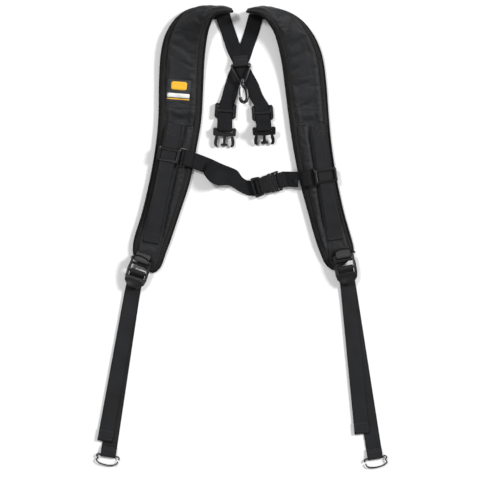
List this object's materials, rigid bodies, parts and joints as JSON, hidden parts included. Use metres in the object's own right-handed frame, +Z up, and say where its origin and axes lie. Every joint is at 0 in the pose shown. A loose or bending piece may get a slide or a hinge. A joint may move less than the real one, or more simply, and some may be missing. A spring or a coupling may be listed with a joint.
{
  "type": "shoulder harness for a tool belt",
  "caption": "Padded two-pad shoulder harness with sternum strap, ladder-lock lower straps with wire hooks, and crossed rear webbing with buckles and a swivel snap hook.",
  "frame": {"origin": "centre of the bounding box in plan, at the surface that the harness lies on", "axes": "+Y towards the shoulders, +Z up out of the front faces of the pads, +X to the viewer's right"},
  "size_m": [0.467, 0.7405, 0.0394],
  "materials": {
    "cover_fabric": "satin woven nylon",
    "pad_mesh": "matt spacer mesh",
    "foam": "matt closed-cell foam",
    "binding_tape": "matt woven tape",
    "webbing": "woven polyester webbing",
    "hardware_plastic": "moulded acetal",
    "black_wire": "black coated steel wire",
    "label": "woven label"
  },
  "bodies": {
    "harness": {"pad_back_mesh_left": "pad_mesh", "pad_foam_left": "foam", "pad_front_cover_left": "cover_fabric", "pad_binding_left": "binding_tape", "rail_webbing_left": "webbing", "rear_anchor_tab_left": "webbing", "ladder_lock_anchor_left": "webbing", "rear_strap_left": "webbing", "pad_back_mesh_right": "pad_mesh", "pad_foam_right": "foam", "pad_front_cover_right": "cover_fabric", "pad_binding_right": "binding_tape", "rail_webbing_right": "webbing", "rear_anchor_tab_right": "webbing", "ladder_lock_anchor_right": "webbing", "rear_strap_right": "webbing", "label_patch": "label", "back_junction_tab": "webbing"},
    "sternum_slider_left": {"sternum_slider_left": "hardware_plastic", "sternum_webbing_left": "webbing"},
    "sternum_slider_right": {"sternum_slider_right": "hardware_plastic", "sternum_webbing_right": "webbing"},
    "sternum_female": {"sternum_female_buckle": "hardware_plastic"},
    "sternum_male": {"sternum_male_buckle": "hardware_plastic"},
    "sternum_prong_left": {"sternum_prong_left": "hardware_plastic"},
    "sternum_prong_right": {"sternum_prong_right": "hardware_plastic"},
    "ladder_lock_left": {"ladder_lock_left": "hardware_plastic"},
    "lower_strap_left": {"lower_strap_left": "webbing"},
    "wire_hook_left": {"wire_hook_left": "black_wire"},
    "tri_glide_left": {"tri_glide_left": "hardware_plastic"},
    "rear_male_buckle_left": {"rear_male_buckle_left": "hardware_plastic"},
    "rear_male_buckle_left_prong_left": {"rear_male_buckle_left_prong_left": "hardware_plastic"},
    "rear_male_buckle_left_prong_right": {"rear_male_buckle_left_prong_right": "hardware_plastic"},
    "ladder_lock_right": {"ladder_lock_right": "hardware_plastic"},
    "lower_strap_right": {"lower_strap_right": "webbing"},
    "wire_hook_right": {"wire_hook_right": "black_wire"},
    "tri_glide_right": {"tri_glide_right": "hardware_plastic"},
    "rear_male_buckle_right": {"rear_male_buckle_right": "hardware_plastic"},
    "rear_male_buckle_right_prong_left": {"rear_male_buckle_right_prong_left": "hardware_plastic"},
    "rear_male_buckle_right_prong_right": {"rear_male_buckle_right_prong_right": "hardware_plastic"},
    "triangle_eye": {"triangle_eye": "hardware_plastic"},
    "snap_hook": {"snap_hook": "hardware_plastic"},
    "snap_hook_gate": {"snap_hook_gate": "hardware_plastic"}
  },
  "joints": [
    {"name": "sternum_slider_left_travel", "type": "slide", "parent": "harness", "child": "sternum_slider_left", "axis": [0.2008, 0.9796, 0], "range_m": [-0.06, 0.03]},
    {"name": "sternum_slider_right_travel", "type": "slide", "parent": "harness", "child": "sternum_slider_right", "axis": [-0.1546, 0.988, 0], "range_m": [-0.06, 0.03]},
    {"name": "sternum_webbing_reach", "type": "slide", "parent": "sternum_slider_left", "child": "sternum_female", "axis": [0.9997, -0.0235, 0], "range_m": [-0.011, 0.022], "deforming": ["sternum_webbing_left"]},
    {"name": "sternum_buckle_release", "type": "slide", "parent": "sternum_slider_right", "child": "sternum_male", "axis": [0.9613, 0.2756, 0], "range_m": [0, 0.024], "deforming": ["sternum_webbing_right"]},
    {"name": "sternum_prong_left_press", "type": "hinge", "parent": "sternum_male", "child": "sternum_prong_left", "pos_m": [0.04495, 0.09552, 0.0052], "axis": [0, 0, 1], "range_deg": [0, 7], "stiffness_Nm_per_rad": 0.4},
    {"name": "sternum_prong_right_press", "type": "hinge", "parent": "sternum_male", "child": "sternum_prong_right", "pos_m": [0.04985, 0.07841, 0.0052], "axis": [0, 0, -1], "range_deg": [0, 7], "stiffness_Nm_per_rad": 0.4},
    {"name": "ladder_lock_left_lift", "type": "hinge", "parent": "harness", "child": "ladder_lock_left", "pos_m": [-0.1616, -0.0376, 0.015], "axis": [-0.9455, 0.3256, 0], "range_deg": [0, 40]},
    {"name": "lower_strap_left_swing", "type": "hinge", "parent": "ladder_lock_left", "child": "lower_strap_left", "pos_m": [-0.16803, -0.05628, 0.01187], "axis": [-0.9455, 0.3256, 0], "range_deg": [-32, 0]},
    {"name": "wire_hook_left_turn", "type": "hinge", "parent": "lower_strap_left", "child": "wire_hook_left", "pos_m": [-0.21574, -0.34917, 0.0031], "axis": [-0.989, 0.1478, 0], "range_deg": [-150, 150]},
    {"name": "tri_glide_left_travel", "type": "slide", "parent": "harness", "child": "tri_glide_left", "axis": [-0.0698, 0.9976, 0], "range_m": [-0.006, 0.002]},
    {"name": "rear_male_buckle_left_swing", "type": "hinge", "parent": "harness", "child": "rear_male_buckle_left", "pos_m": [0.0335, 0.172, 0.0175], "axis": [-0.9994, -0.0349, 0], "range_deg": [-20, 60]},
    {"name": "rear_male_buckle_left_prong_left_press", "type": "hinge", "parent": "rear_male_buckle_left", "child": "rear_male_buckle_left_prong_left", "pos_m": [0.02252, 0.16269, 0.01235], "axis": [0.0175, -0.4997, 0.866], "range_deg": [0, 7], "stiffness_Nm_per_rad": 0.4},
    {"name": "rear_male_buckle_left_prong_right_press", "type": "hinge", "parent": "rear_male_buckle_left", "child": "rear_male_buckle_left_prong_right", "pos_m": [0.0451, 0.16348, 0.01235], "axis": [-0.0175, 0.4997, -0.866], "range_deg": [0, 7], "stiffness_Nm_per_rad": 0.4},
    {"name": "ladder_lock_right_lift", "type": "hinge", "parent": "harness", "child": "ladder_lock_right", "pos_m": [0.16, -0.0299, 0.015], "axis": [-0.9848, -0.1736, 0], "range_deg": [0, 40]},
    {"name": "lower_strap_right_swing", "type": "hinge", "parent": "ladder_lock_right", "child": "lower_strap_right", "pos_m": [0.16343, -0.04935, 0.01187], "axis": [-0.9848, -0.1736, 0], "range_deg": [-32, 0]},
    {"name": "wire_hook_right_turn", "type": "hinge", "parent": "lower_strap_right", "child": "wire_hook_right", "pos_m": [0.21133, -0.35259, 0.0031], "axis": [-0.988, -0.1547, 0], "range_deg": [-150, 150]},
    {"name": "tri_glide_right_travel", "type": "slide", "parent": "harness", "child": "tri_glide_right", "axis": [0.0698, 0.9976, 0], "range_m": [-0.01, 0.004]},
    {"name": "rear_male_buckle_right_swing", "type": "hinge", "parent": "harness", "child": "rear_male_buckle_right", "pos_m": [-0.0293, 0.1712, 0.0082], "axis": [-0.9994, 0.0349, 0], "range_deg": [-20, 60]},
    {"name": "rear_male_buckle_right_prong_left_press", "type": "hinge", "parent": "rear_male_buckle_right", "child": "rear_male_buckle_right_prong_left", "pos_m": [-0.04095, 0.16143, 0.00659], "axis": [-0.0055, -0.1563, 0.9877], "range_deg": [0, 7], "stiffness_Nm_per_rad": 0.4},
    {"name": "rear_male_buckle_right_prong_right_press", "type": "hinge", "parent": "rear_male_buckle_right", "child": "rear_male_buckle_right_prong_right", "pos_m": [-0.01836, 0.16064, 0.00659], "axis": [0.0055, 0.1563, -0.9877], "range_deg": [0, 7], "stiffness_Nm_per_rad": 0.4},
    {"name": "triangle_eye_swing", "type": "hinge", "parent": "harness", "child": "triangle_eye", "pos_m": [-0.0035, 0.2752, 0.007], "axis": [-0.9962, -0.0872, 0], "range_deg": [0, 140]},
    {"name": "snap_hook_swivel", "type": "hinge", "parent": "triangle_eye", "child": "snap_hook", "pos_m": [-0.00093, 0.24583, 0.01062], "axis": [-0.0865, 0.9888, -0.1219], "continuous": true},
    {"name": "snap_hook_gate_press", "type": "hinge", "parent": "snap_hook", "child": "snap_hook_gate", "pos_m": [-0.00433, 0.23996, 0.0113], "axis": [-0.0106, 0.1214, 0.9925], "range_deg": [0, 20], "stiffness_Nm_per_rad": 0.1}
  ],
  "couplings": [
    {"joint": "sternum_slider_right_travel", "follows": "sternum_slider_left_travel", "ratio": 1},
    {"joint": "sternum_webbing_reach", "follows": "sternum_slider_left_travel", "ratio": -0.35554},
    {"joint": "sternum_prong_right_press", "follows": "sternum_prong_left_press", "ratio": 1},
    {"joint": "rear_male_buckle_left_prong_right_press", "follows": "rear_male_buckle_left_prong_left_press", "ratio": 1},
    {"joint": "rear_male_buckle_right_prong_right_press", "follows": "rear_male_buckle_right_prong_left_press", "ratio": 1}
  ]
}
